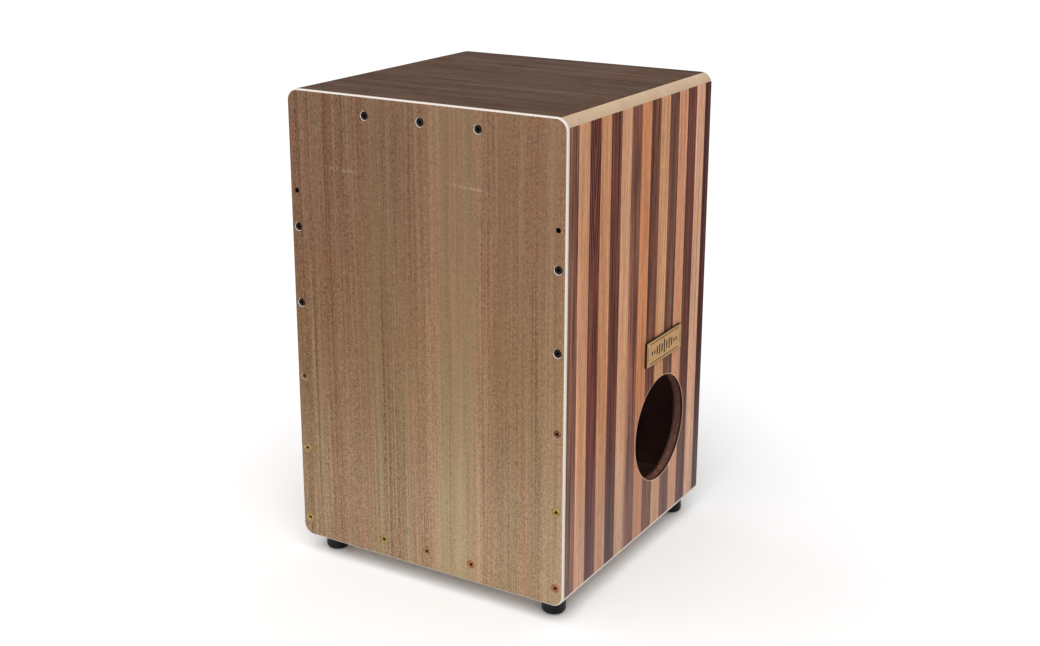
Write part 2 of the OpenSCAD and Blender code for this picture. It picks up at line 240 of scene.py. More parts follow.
def handlingGroup():
    given = startGroup("handling", Size=40.0)
    smudges = noise(given["Vector"], given["Size"], 5.0, 0.62, 0.8)
    dust = noise(given["Vector"], times(given["Size"], 40.0), 1.0)
    return endGroup({"Smudges": soft(smudges, 0.42, 0.68), "Dust": soft(dust, 0.66, 0.74)})


def insideGroup():
    # 1 inside a box given by two corners, 0 outside
    given = startGroup("insideBox", Low=(0, 0, 0), High=(1, 1, 1))
    here, low, high = (axisOf(given[key]) for key in ("Vector", "Low", "High"))
    mask = 1.0
    for i in range(3):
        above = calc("GREATER_THAN", here[i], low[i])
        below = calc("LESS_THAN", here[i], high[i])
        mask = times(times(above, below), mask)
    return endGroup({"Inside": mask})


def metalGroup():
    given = startGroup("metalWear", Size=600.0)
    drawn = stretched(given["Vector"], (1, 1, 0.12))
    scratches = noise(drawn, times(given["Size"], 6.0), 3.0, 0.7)
    stains = noise(given["Vector"], given["Size"], 4.0, 0.6)
    return endGroup({"Scratches": fit(scratches, 0.35, 0.65), "Stains": soft(stains, 0.45, 0.7)})


groups = {
    "grain": grainGroup(), "fibre": fibreGroup(), "handling": handlingGroup(),
    "inside": insideGroup(), "metal": metalGroup(),
}


def use(name, vector, size, **extra):
    inputs = {"Vector": vector, "Size": size, **extra}
    return put("ShaderNodeGroup", inputs, node_tree=groups[name]).outputs


def woodGrain(vector, size, stretch):
    return use("grain", vector, size, Stretch=stretch)


def insideBox(vector, low, high):
    inputs = {"Vector": vector, "Low": low, "High": high}
    return put("ShaderNodeGroup", inputs, node_tree=groups["inside"]).outputs[0]


def startMaterial(name):
    material = bpy.data.materials.new(name)
    material.use_nodes = True
    tree = material.node_tree
    shader = next(n for n in tree.nodes if n.type == "BSDF_PRINCIPLED")
    desk.update(material=material, tree=tree, shader=shader)
    return tree.nodes.new("ShaderNodeTexCoord").outputs["Object"]


def finishMaterial(colour, roughness, height, depth, specular=0.5, metallic=0.0):
    sockets = desk["shader"].inputs
    bump = put("ShaderNodeBump", {"Height": height, "Strength": 0.6, "Distance": depth}).outputs[0]
    for label, value in (("Base Color", colour), ("Roughness", roughness), ("Normal", bump)):
        desk["tree"].links.new(value, sockets[label])
    sockets["Specular IOR Level"].default_value = specular
    sockets["Metallic"].default_value = metallic
    return desk["material"]


# wood finishes

tapaFace = {
    "dark": screen(97, 62, 41),
    "light": screen(199, 160, 128),
    "green": screen(160, 148, 110),
    "red": screen(164, 98, 72),
    "paintedLightAndTone": [  # painted light with some veneer tone: how the colour darkens up the plate, lighter toward the bottom where more light fell
        (0.0, (0.99, 1.08, 1.09)), (0.17, (0.91, 1.0, 1.01)), (0.33, (0.79, 0.81, 0.77)),
        (0.5, (0.70, 0.67, 0.60)), (0.7, (0.65, 0.60, 0.575)), (1.0, (0.62, 0.58, 0.575)),
    ],
    "columns": [  # how light the plate is from the left edge to the right one: streaks across it, darkest at the left edge
        (0.0, 0.22), (0.05, 0.40), (0.13, 0.43), (0.155, 0.32), (0.17, 0.48), (0.24, 0.43),
        (0.34, 0.45), (0.41, 0.38), (0.43, 0.46), (0.50, 0.52), (0.555, 0.72), (0.585, 0.60),
        (0.61, 0.74), (0.68, 0.70), (0.76, 0.50), (0.83, 0.48), (0.885, 0.70), (0.905, 0.44),
        (0.93, 0.66), (1.0, 0.74),
    ],
    # how strongly each layer shows
    "lines": 0.44, "bands": 0.14, "fineLines": 0.34, "specks": 0.62, "pores": 0.16,
    "greenCast": 0.42, "greenStripe": 0.30, "redFlush": 0.28, "scuffStrength": 0.34,
    "scuffs": [(-112, -62), (22, 74)],  # faint scuffs, mm from the middle
    "scuffLow": 399.5,  # mm above the floor
    "scuffHigh": 404.5,
    "scuffed": screen(226, 205, 180),
}


def tapaFaceMaterial():
    kit = tapaFace
    where = startMaterial("tapaFace")
    x, z = axisOf(where)[0], axisOf(where)[2]
    half = drum["halfWidth"]
    grain = woodGrain(where, 500.0, (1, 1, 0.007))
    fine = woodGrain(where, 760.0, (1, 1, 0.45))
    mottle = use("fibre", where, 700.0)
    handling = use("handling", where, 24.0)
    tone = ramp(fit(x, -half, half), [(p, grey(v)) for p, v in kit["columns"]], "B_SPLINE")
    for mask, part in (
        (grain["Lines"], "lines"), (grain["Bands"], "bands"),
        (fine["Lines"], "fineLines"), (mottle["Specks"], "specks"),
    ):
        tone = plus(tone, layer(mask, kit[part], -kit[part] / 2))
    tone = minus(tone, times(fine["Pores"], kit["pores"]), clamp=True)
    colour = blend(tone, kit["dark"], kit["light"])
    drawn = stretched(where, (1, 1, 0.01))
    cast = fit(noise(drawn, 160.0, 3.0, 0.6), 0.42, 0.72, 0.0, kit["greenCast"])
    stripe = times(soft(x, 6 * mm, 24 * mm), soft(x, 64 * mm, 46 * mm))
    colour = blend(layer(stripe, kit["greenStripe"], cast), colour, kit["green"])
    flush = fit(noise(drawn, 210.0, 4.0, 0.7), 0.46, 0.68, 0.0, kit["redFlush"])
    colour = blend(flush, colour, kit["red"])
    low, high = corners("tapa_core")
    # painted light with some veneer tone: the colour is multiplied lighter toward the bottom of the plate
    # and darker up it
    colour = blend(1.0, colour, ramp(fit(z, low.z, high.z), kit["paintedLightAndTone"]), "MULTIPLY")
    scuff = 0.0
    for low, high in kit["scuffs"]:
        run = times(soft(x, low * mm, (low + 12) * mm), soft(x, high * mm, (high - 14) * mm))
        scuff = plus(scuff, run)
    wander = noise(where, 18.0, 2.0)
    level = fit(wander, 0.3, 0.7, kit["scuffLow"] * mm, kit["scuffHigh"] * mm)
    line = calc("ABSOLUTE", minus(z, level))
    scuff = times(scuff, fit(line, 0.3 * mm, 2.6 * mm, 1.0, 0.0))
    scuff = times(scuff, soft(noise(where, 260.0, 3.0, 0.7), 0.42, 0.70))
    colour = blend(times(scuff, kit["scuffStrength"]), colour, kit["scuffed"])
    rough = layer(handling["Smudges"], 0.06, layer(fine["Lines"], 0.10, 0.40))
    height = minus(grain["Lines"], times(fine["Pores"], 1.5))
    return finishMaterial(colour, rough, height, 0.06 * mm, 0.08)


walnutLook = {
    "dark": screen(40, 26, 20),
    "light": screen(104, 77, 61),
    "line": screen(30, 22, 20),
}


def walnutMaterial(name, stretch):
    kit = walnutLook
    where = startMaterial(name)
    grain = woodGrain(where, 420.0, stretch)
    shorter = tuple(min(1.0, v * 6) for v in stretch)
    fine = woodGrain(where, 900.0, shorter)
    handling = use("handling", where, 14.0)
    tone = layer(grain["Lines"], 0.74, -0.17)
    tone = layer(grain["Bands"], 0.34, tone)
    tone = layer(fine["Lines"], 0.46, tone)
    tone = minus(tone, 0.0, clamp=True)  # keeps the tone between 0 and 1
    colour = blend(tone, kit["dark"], kit["light"])
    colour = blend(times(soft(grain["Figure"], 0.82, 1.0), 0.25), colour, kit["line"])
    colour = blend(times(fine["Pores"], 0.35), colour, kit["line"])
    rough = layer(fine["Lines"], 0.08, layer(handling["Smudges"], 0.12, 0.34))
    height = minus(grain["Lines"], times(fine["Pores"], 1.4))
    return finishMaterial(colour, rough, height, 0.05 * mm, 0.015)


stripes = {
    "start": drum["frontY"],
    "first": 16.5 * mm,
    "width": 19.9 * mm,
    "dark": [  # mean colour of each dark strip, front to rear
        (112, 74, 60), (97, 52, 43), (90, 50, 40), (137, 90, 71),
        (103, 62, 48), (93, 58, 45), (92, 51, 41), (65, 16, 16),
    ],
    "light": [
        (192, 141, 107), (177, 125, 90), (182, 136, 105), (186, 123, 85),
        (178, 130, 94), (181, 126, 96), (192, 145, 117),
    ],
    # painted sheen: the grey laid over the lower strips
    "paintedSheen": (0.48, 0.49, 0.50),
    "gain": 1.2,
    "darkRing": screen(58, 34, 32),
    "lightRing": screen(150, 96, 62),
    "olive": screen(112, 84, 60),
    "arrow": screen(44, 22, 20),
    "arrowSlope": -11.0,
    "arrowPitch": 24 * mm,
    "pore": screen(60, 36, 30),
    "glue": screen(48, 28, 24),
    "lip": screen(226, 186, 152),
}


def stripMaterial(name, kind, offset):
    kit = stripes
    where = startMaterial(name)
    x, y, z = axisOf(where)
    wide = kit["width"]
    depth = drum["rearY"] - kit["start"]
    stops = []
    for i, tone in enumerate(kit[kind]):
        place = (kit["first"] + (2 * i + offset - 1.5) * wide) / depth
        stops.append((max(0.0, place), screen(*tone)))
    base = ramp(fit(y, kit["start"], drum["rearY"]), stops, "CONSTANT")
    there = moved(where, (0, 0, 0.7 * offset))
    grain = woodGrain(there, 300.0, (1, 1, 0.022))
    fine = woodGrain(there, 700.0, (1, 1, 0.12))
    handling = use("handling", there, 20.0)
    dark = kind == "dark"
    swing = 1.5 if dark else 0.56
    lift = layer(grain["Lines"], swing, 1.0 - swing * 0.5)
    lift = times(lift, layer(grain["Bands"], swing * 0.3, 1.0 - swing * 0.15))
    lift = times(times(lift, layer(fine["Lines"], 0.36, 0.82)), kit["gain"])
    shade = put("ShaderNodeCombineXYZ", {0: lift, 1: lift, 2: lift}).outputs[0]
    colour = blend(1.0, base, shade, "MULTIPLY")
    if dark:
        colour = blend(times(soft(grain["Figure"], 0.70, 1.0), 0.5), colour, kit["darkRing"])
        drawn = stretched(there, (1, 1, 0.03))
        cast = times(soft(noise(drawn, 95.0, 2.0), 0.50, 0.66), 0.30)
        colour = blend(cast, colour, kit["olive"])
        # nested arrow figure high on the second dark strip
        side = calc("ABSOLUTE", minus(y, kit["start"] + kit["first"] + 1.5 * wide))
        rise = layer(side, kit["arrowSlope"], z)
        arrow = calc("PINGPONG", plus(rise, 1.0), kit["arrowPitch"])
        arrow = fit(arrow, 4 * mm, 15 * mm, 0.9, 0.0)
        near = fit(side, wide * 0.45, wide * 0.5, 1.0, 0.0)
        near = times(near, soft(z, 300 * mm, 360 * mm))
        colour = blend(times(arrow, near), colour, kit["arrow"])
    else:
        colour = blend(times(soft(grain["Figure"], 0.78, 1.0), 0.22), colour, kit["lightRing"])
    colour = blend(times(fine["Pores"], 0.4 if dark else 0.30), colour, kit["pore"])
    # painted sheen: a grey veil toward the bottom of the strips stands in for the glancing reflection of the
    # satin finish
    low = drum["bottom"]
    paintedSheen = times(soft(z, low + 190 * mm, low), 0.13 if dark else 0.20)
    colour = blend(paintedSheen, colour, kit["paintedSheen"])
    # a dark glue line where two strips meet
    step = minus(minus(y, kit["start"]), kit["first"] - 40 * wide)
    seam = fit(calc("PINGPONG", step, wide / 2), 0.08 * mm, 0.30 * mm, 0.4, 0.0)
    colour = blend(seam, colour, kit["glue"])
    # a pale ring on the veneer round the sound hole
    aside = calc("POWER", minus(y, soundHole["y"]), 2.0)
    above = calc("POWER", minus(z, soundHole["z"]), 2.0)
    fromHole = minus(calc("SQRT", plus(aside, above)), soundHole["radius"])
    lip = fit(fromHole, 0.4 * mm, 1.0 * mm, 0.6, 0.0)
    lip = times(lip, calc("GREATER_THAN", x, 0.0))
    colour = blend(lip, colour, kit["lip"])
    rough = layer(handling["Smudges"], 0.08, layer(fine["Lines"], 0.10, 0.30))
    height = minus(grain["Lines"], times(fine["Pores"], 1.4))
    height = minus(height, times(seam, 2.0))
    return finishMaterial(colour, rough, height, 0.05 * mm, 0.015)


boardLook = {
    "tan": screen(204, 179, 150),
    "deep": screen(181, 150, 119),
    "low": screen(226, 214, 204),
    "insideTone": screen(104, 70, 60),
    "insideToneDeep": screen(66, 41, 35),
    "skin": 0.6 * mm,
    # the wall of the sound hole
    "wall": screen(122, 80, 66),
    "wallDeep": screen(70, 42, 35),
    "fleck": screen(176, 124, 104),
    "ring": screen(30, 20, 17),
    "rim": screen(40, 27, 22),
}


def boardMaterial(name, stained=False):
    # pressed-fibre board: tan outside, darker inside the box
    kit = boardLook
    where = startMaterial(name)
    x, y, z = axisOf(where)
    fibre = use("fibre", where, 900.0)
    handling = use("handling", where, 22.0)
    tone = layer(fibre["Specks"], 0.55, times(fibre["Clouds"], 0.3))
    outer = blend(tone, kit["tan"], kit["deep"])
    bottom, innerX, skin = drum["bottom"], drum["innerX"], kit["skin"]
    outer = blend(soft(z, bottom + 40 * mm, bottom + 12 * mm), outer, kit["low"])
    inner = blend(tone, kit["insideTone"], kit["insideToneDeep"])
    rearInside = corners("back_panel")[1].y - 3 * mm
    inside = insideBox(where, (-innerX - skin, drum["frontY"] - skin, drum["innerLow"] - skin),
                       (innerX + skin, rearInside, drum["innerHigh"] + skin))
    if stained:
        wall = blend(tone, kit["wall"], kit["wallDeep"])
        flecks = soft(noise(where, 420.0, 3.0, 0.7), 0.54, 0.68)
        wall = blend(times(flecks, 0.6), wall, kit["fleck"])
        face = corners("right_side_panel")[1].x
        wall = blend(soft(x, face - 3.4 * mm, face - 1.2 * mm), wall, kit["ring"])
        wall = blend(soft(x, innerX + 2.2 * mm, innerX + 0.8 * mm), wall, kit["rim"])
        outer = blend(calc("GREATER_THAN", y, drum["rearY"] - 2 * mm), wall, outer)
    colour = blend(inside, outer, inner)
    rough = layer(handling["Smudges"], 0.06, layer(fibre["Specks"], 0.14, 0.50))
    return finishMaterial(colour, rough, fibre["Specks"], 0.05 * mm, 0.35)


def battenMaterial():
    # the battens inside the box are dark brown
    where = startMaterial("darkBatten")
    grain = woodGrain(where, 500.0, (0.06, 1, 1))
    colour = blend(grain["Lines"], screen(84, 58, 46), screen(116, 84, 66))
    colour = blend(times(grain["Pores"], 0.5), colour, screen(48, 30, 24))
    rough = layer(grain["Lines"], 0.15, 0.55)
    return finishMaterial(colour, rough, grain["Lines"], 0.06 * mm, 0.3)


plyLook = {
    "pale": screen(226, 220, 214),
    "warm": screen(206, 192, 176),
    "middle": screen(206, 186, 160),
    # painted shade: near black for the walls of the key holes
    "keyHoleShade": screen(14, 11, 10),
    # brown for the lower countersinks; the pale kept higher up is a painted highlight
    "dimpleBrown": screen(142, 104, 76),
}


def plyMaterial():
    # plywood edge: pale outer plies, a warmer middle ply, bare back face
    kit = plyLook
    where = startMaterial("plyEdge")
    y, z = axisOf(where)[1:3]
    low, high = corners("tapa_core")
    grain = woodGrain(where, 700.0, (1, 1, 0.05))
    fibre = use("fibre", where, 1100.0)
    deep = fit(y, low.y, high.y)
    plies = ramp(deep, [(0.0, kit["pale"]), (0.50, kit["pale"]), (0.53, kit["middle"]),
                              (0.72, kit["middle"]), (0.75, kit["pale"]), (0.97, kit["warm"])])
    colour = blend(times(fibre["Specks"], 0.30), plies, kit["warm"])
    colour = blend(times(grain["Pores"], 0.25), colour, kit["middle"])
    for node in ("left_adjuster", "right_adjuster"):  # key hole walls painted black as shade
        spot, reach = middle(node), 3.0 * mm
        keyHoleShade = insideBox(where, (spot.x - reach, low.y - reach, spot.z - reach),
                         (spot.x + reach, high.y + reach, spot.z + reach))
        colour = blend(keyHoleShade, colour, kit["keyHoleShade"])
    # countersinks of the lower screws brown; higher up they keep the pale ply, a painted highlight standing
    # in for the glints there
    far = drum["halfWidth"] - 4 * mm
    field = insideBox(where, (-far, low.y - 1 * mm, low.z + 5 * mm), (far, low.y + 3 * mm, high.z - 5 * mm))
    field = times(field, soft(z, 240 * mm, 150 * mm))
    colour = blend(times(field, 0.8), colour, kit["dimpleBrown"])
    rough = layer(fibre["Specks"], 0.16, 0.52)
    return finishMaterial(colour, rough, fibre["Specks"], 0.05 * mm, 0.3)


# plate, rubber and metal finishes

plateLook = {
    "face": screen(192, 146, 82),
    "deep": screen(160, 112, 56),
    "burnt": screen(12, 8, 6),
}


def plateMaterial():
    kit = plateLook
    where = startMaterial("laserCutPly")
    x, y, z = axisOf(where)
    low, high = corners("name_plate")
    grain = woodGrain(where, 700.0, (1, 0.05, 1))
    fibre = use("fibre", where, 1000.0)
    tone = layer(grain["Lines"], 0.6, times(fibre["Specks"], 0.25))
    colour = blend(tone, kit["face"], kit["deep"])
    centre = (low + high) / 2
    half = (high - low) / 2
    fromY = minus(half.y, calc("ABSOLUTE", minus(y, centre.y)))
    fromZ = minus(half.z, calc("ABSOLUTE", minus(z, centre.z)))
    toEdge = calc("MINIMUM", fromY, fromZ)
    soot = times(fit(toEdge, 0.1 * mm, 1.4 * mm, 0.85, 0.0),
                 fit(noise(where, 420.0, 3.0), 0.3, 0.7, 0.55, 1.0))
    cutIn = fit(x, high.x - 0.28 * mm, high.x - 0.10 * mm, 1.0, 0.0)
    burnt = calc("MAXIMUM", soot, cutIn)
    colour = blend(burnt, colour, kit["burnt"])
    rough = layer(burnt, 0.25, 0.45)
    return finishMaterial(colour, rough, grain["Lines"], 0.05 * mm, 0.35)


def rubberMaterial():
    where = startMaterial("blackRubber")
    fibre = use("fibre", where, 1600.0)
    handling = use("handling", where, 60.0)
    colour = blend(handling["Smudges"], screen(8, 9, 12), screen(16, 18, 22))
    colour = blend(times(handling["Dust"], 0.2), colour, screen(70, 72, 74))
    rough = layer(fibre["Specks"], 0.18, 0.42)
    return finishMaterial(colour, rough, fibre["Specks"], 0.08 * mm, 0.25)


def metalMaterial(name, bright, dull, rough, metallic=1.0, fade=None, recessShadeDepth=None):
    # fade: plating that differs from screw to screw, and painted shade that turns the screws dark toward the
    # top
    where = startMaterial(name)
    wear = use("metal", where, 500.0)
    colour = blend(wear["Stains"], screen(*bright), screen(*dull))
    if fade:
        batch = noise(where, 16.0, 1.0)
        colour = blend(fit(batch, 0.47, 0.60, 0.0, 0.65), colour, fade["warm"])
        colour = blend(fit(batch, 0.44, 0.36, 0.0, 0.6), colour, fade["cool"])
        # painted shade: the screws darken toward the top
        up = soft(axisOf(where)[2], fade["low"] * mm, fade["high"] * mm)
        colour = blend(up, colour, fade["colour"])
    # painted shade: deeper than this depth, inside the cross recess, the colour goes near black
    if recessShadeDepth:
        y = axisOf(where)[1]
        colour = blend(fit(y, recessShadeDepth, recessShadeDepth + 0.3 * mm), colour, grey(0.004))
    rough = layer(wear["Scratches"], 0.16, rough)
    return finishMaterial(colour, rough, wear["Scratches"], 0.02 * mm, metallic=metallic)


finishes = {
    "tapaFace": tapaFaceMaterial(),
    "ply": plyMaterial(),
    "topWalnut": walnutMaterial("topWalnut", (0.02, 1, 1)),
    "backWalnut": walnutMaterial("backWalnut", (1, 1, 0.02)),
    "darkStrip": stripMaterial("rosewoodStrip", "dark", 0),
    "lightStrip": stripMaterial("cherryStrip", "light", 1),
    "board": boardMaterial("fibreBoard"),
    "holeBoard": boardMaterial("stainedHoleBoard", stained=True),
    "batten": battenMaterial(),
    "plate": plateMaterial(),
    "rubber": rubberMaterial(),
    "plateScrew": metalMaterial(
        "yellowZinc", (186, 156, 92), (150, 78, 56), 0.30,
        # painted shade: the plate screws turn dark from 120 to 270 mm up
        fade={"low": 120, "high": 270, "colour": screen(46, 42, 40),
              "warm": screen(170, 92, 70), "cool": screen(150, 156, 78)},
        # painted shade: the cross recesses go near black from 0.3 mm behind the head top
        recessShadeDepth=corners("top_tapa_screws")[0].y + 0.3 * mm),
    "zinc": metalMaterial("zincPlate", (190, 192, 194), (140, 142, 146), 0.28),
    "steel": metalMaterial("brushedSteel", (170, 172, 175), (128, 130, 134), 0.34),
    "wire": metalMaterial("brightWire", (214, 215, 217), (170, 172, 176), 0.18),
    "blackBolt": metalMaterial("blackOxide", (34, 34, 36), (18, 18, 20), 0.42),
}
print("materials made:", len(finishes))


# mesh helpers

def addRing(bm, points):
    return [bm.verts.new(p) for p in points]


def bridge(bm, a, b):
    count = len(a)
    for i in range(count):
        j = (i + 1) % count
        bm.faces.new((a[i], a[j], b[j], b[i]))


def loft(bm, rings, ends=True):
    made = [addRing(bm, ring) for ring in rings]
    for a, b in zip(made, made[1:]):
        bridge(bm, a, b)
    if ends:
        bm.faces.new(made[0])
        bm.faces.new(made[-1])
    return made


def lathe(bm, profile, place, steps=48, closed=False):
    rings = []
    for radius, height in profile:
        if radius < 1e-7:
            rings.append([bm.verts.new(place @ Vector((0, 0, height)))])
            continue
        rings.append(addRing(bm, [place @ Vector((u, v, height)) for u, v in circle((0, 0), radius, steps)]))
    pairs = list(zip(rings, rings[1:]))
    if closed:
        pairs.append((rings[-1], rings[0]))
    for a, b in pairs:
        if len(a) > 1 and len(b) > 1:
            bridge(bm, a, b)
            continue
        tip, ring = (a[0], b) if len(a) == 1 else (b[0], a)
        for i in range(len(ring)):
            bm.faces.new((tip, ring[i], ring[(i + 1) % len(ring)]))


def fillBetween(bm, loops):
    edges = []
    for loop in loops:
        for a, b in zip(loop, loop[1:] + loop[:1]):
            edges.append(bm.edges.get((a, b)) or bm.edges.new((a, b)))
    bmesh.ops.triangle_fill(bm, edges=edges, use_beauty=True)


def roundRect(width, height, radius, inset=0.0, centre=(0, 0), steps=8):
    # counter-clockwise outline of a rounded rectangle, pulled in by inset
    points = []
    r = max(radius - inset, 1e-5)
    for i, (sx, sy) in enumerate(((1, 1), (-1, 1), (-1, -1), (1, -1))):
        cx = centre[0] + sx * (width / 2 - radius)
        cy = centre[1] + sy * (height / 2 - radius)
        for k in range(steps + 1):
            a = math.pi / 2 * (i + k / steps)
            points.append((cx + r * math.cos(a), cy + r * math.sin(a)))
    return points


def circle(centre, radius, steps=40):
    return [
        (centre[0] + radius * math.cos(2 * math.pi * i / steps),
         centre[1] + radius * math.sin(2 * math.pi * i / steps))
        for i in range(steps)
    ]


def drilledPlate(bm, outline, edge, holes, place):
    # outline(inset) gives the border; edge lists (inset, depth) from the front face to the back one
    # each hole is (loop(grow), [(grow, depth), ...]) and is blind if it stops short of the back
    rings = [addRing(bm, [place(u, v, depth) for u, v in outline(inset)]) for inset, depth in edge]
    for a, b in zip(rings, rings[1:]):
        bridge(bm, a, b)
    back = edge[-1][1]
    fronts, backs = [rings[0]], [rings[-1]]
    for loop, profile in holes:
        made = [addRing(bm, [place(u, v, depth) for u, v in loop(grow)]) for grow, depth in profile]
        for a, b in zip(made, made[1:]):
            bridge(bm, a, b)
        fronts.append(made[0])
        if abs(profile[-1][1] - back) < 1e-7:
            backs.append(made[-1])
        else:
            bm.faces.new(made[-1])
    fillBetween(bm, fronts)
    fillBetween(bm, backs)


def roundHole(centre, radius, profile, steps=40):
    # profile lists (growth over the hole's radius, depth)
    return (lambda grow: circle(centre, radius + grow, steps), profile)


def threadedRod(bm, place, low, high, core, crest, pitch, tip=0.0, steps=12, ringsPerTurn=6):
    rings = []
    count = max(4, int((high - low) / pitch * ringsPerTurn))
    for k in range(count + 1):
        h = low + (high - low) * k / count
        fade = min(1.0, (high - h) / tip) if tip else 1.0
        ends = min(1.0, (h - low) / pitch, (high - h) / pitch)
        points = []
        for i in range(steps):
            a = 2 * math.pi * i / steps
            phase = (h / pitch - i / steps) % 1.0
            ridge = 1.0 - abs(2.0 * phase - 1.0)
            r = (core + (crest - core) * ridge * ends) * max(fade, 0.12)
            points.append(place @ Vector((r * math.cos(a), r * math.sin(a), h)))
        rings.append(points)
    loft(bm, rings)


def flatBar(bm, size, centre, y, radius, ease, holes, steps=5):
    # an upright plate across the drum with eased edges, its front face at y
    wide, thick, tall = size
    edge = [(ease, 0.0), (0.0, ease), (0.0, thick - ease), (ease, thick)]
    drilledPlate(bm, lambda inset: roundRect(wide, tall, radius, inset, centre, steps), edge, holes,
                 lambda u, v, depth: Vector((u, y + depth, v)))


def meshFrom(bm, name, sharp):
    bmesh.ops.recalc_face_normals(bm, faces=bm.faces)
    mesh = bpy.data.meshes.new(name)
    bm.to_mesh(mesh)
    bm.free()
    mesh.shade_smooth()
    mesh.set_sharp_from_angle(angle=math.radians(sharp))
    return mesh


def addObject(name, data):
    made = bpy.data.objects.new(name, data)
    bpy.context.collection.objects.link(made)
    return made


def newPiece(name, bm, body, finish, replaced, sharp=35):
    mesh = meshFrom(bm, name, sharp)
    mesh.materials.append(finishes[finish])
    piece = addObject(name, mesh)
    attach(piece, body)
    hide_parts(*replaced)
    return piece


def cutAway(mesh, cutters):
    # the mesh with each cutter's shape taken out of it
    blank = addObject("blank", mesh)
    tools = []
    for cutter in cutters:
        tool = addObject("tool", cutter)
        step = blank.modifiers.new("cut", "BOOLEAN")
        step.operation, step.solver, step.object = "DIFFERENCE", "EXACT", tool
        tools.append(tool)
    depsgraph = bpy.context.evaluated_depsgraph_get()
    result = bpy.data.meshes.new_from_object(blank.evaluated_get(depsgraph))
    for extra in [blank, *tools]:
        bpy.data.objects.remove(extra)
    return result


def stamp(bm, template, places):
    for place in places:
        first = len(bm.verts)
        bm.from_mesh(template)
        bm.verts.ensure_lookup_table()
        bmesh.ops.transform(bm, matrix=place, verts=bm.verts[first:])


def aim(position, axis, turn=0.0):
    # a matrix whose local +Z points along axis
    spin = Matrix.Rotation(math.radians(turn), 4, "Z")
    return Matrix.Translation(position) @ Vector(axis).to_track_quat("Z", "Y").to_matrix().to_4x4() @ spin


def wedge(length, width, bottomLength, bottomWidth, top, bottom):
    # tapered slot cutter, wide at the top
    bm = bmesh.new()
    rings = []
    for l, w, h in ((length, width, top), (bottomLength, bottomWidth, bottom)):
        rings.append([(l / 2 * sx, w / 2 * sy, h) for sx, sy in ((1, 1), (-1, 1), (-1, -1), (1, -1))])
    loft(bm, rings)
    return meshFrom(bm, "cutter", 30)


def inMm(*points):
    return [(a * mm, b * mm) for a, b in points]


def crossHead(profile, cross):
    # a screw head turned from profile, local +Z into the work, with a cross recess
    bm = bmesh.new()
    lathe(bm, profile, Matrix.Identity(4), 40)
    top = min(point[1] for point in profile)
    blades = []
    for turn in (0, 90):
        blade = wedge(cross["length"], cross["width"], cross["length"] * 0.45,
                      cross["width"] * 0.7, top - 0.4 * mm, top + cross["depth"])
        blade.transform(Matrix.Rotation(math.radians(turn), 4, "Z"))
        blades.append(blade)
    core = bmesh.new()
    lathe(core, [(0, top - 0.4 * mm), (cross["width"] * 1.05, top - 0.4 * mm),
                 (cross["width"] * 0.55, top + cross["depth"] * 1.1), (0, top + cross["depth"] * 1.3)],
          Matrix.Rotation(0.2, 4, "Z"), 12)
    blades.append(meshFrom(core, "pip", 30))
    return cutAway(meshFrom(bm, "head", 30), blades)


def drivenScrews(name, body, finish, node, head, places, thread):
    # thread gives the start, end, core, crest, pitch and point of each threaded shank
    bm = bmesh.new()
    stamp(bm, head, places)
    for place in places:
        threadedRod(bm, place, *thread)
    newPiece(name, bm, body, finish, [node], 30)


def paint(finish, *names):
    for name in names:
        for place in nodes[name].material_slots:
            place.material = finishes[finish]


def easeEdges(width, *names):
    for name in names:
        step = nodes[name].modifiers.new("easedEdges", "BEVEL")
        step.width, step.segments, step.limit_method = width, 2, "ANGLE"
        step.angle_limit = math.radians(50)


# striking plate

tapa = {
    "arris": 1.5 * mm,
    "roundDepth": 2.0 * mm,
    "veneerDrop": 0.22 * mm,
    "sinkRadius": 4.5 * mm,
    "shankHole": 1.8 * mm,
    "screws": {"left_tapa_screws": 5, "right_tapa_screws": 5, "top_tapa_screws": 3, "bottom_tapa_screws": 3},
}


def screwPlaces():
    rows = {}
    for name, count in tapa["screws"].items():
        low, high = corners(name)
        r = min(high.x - low.x, high.z - low.z) / 2
        xs = spread(low.x + r, high.x - r, count)
        zs = spread(low.z + r, high.z - r, count)
        rows[name] = list(zip(xs, zs))
    return rows


def boltSpots():
    return [(middle(n).x, middle(n).z) for n in ("left_adjuster", "right_adjuster")]


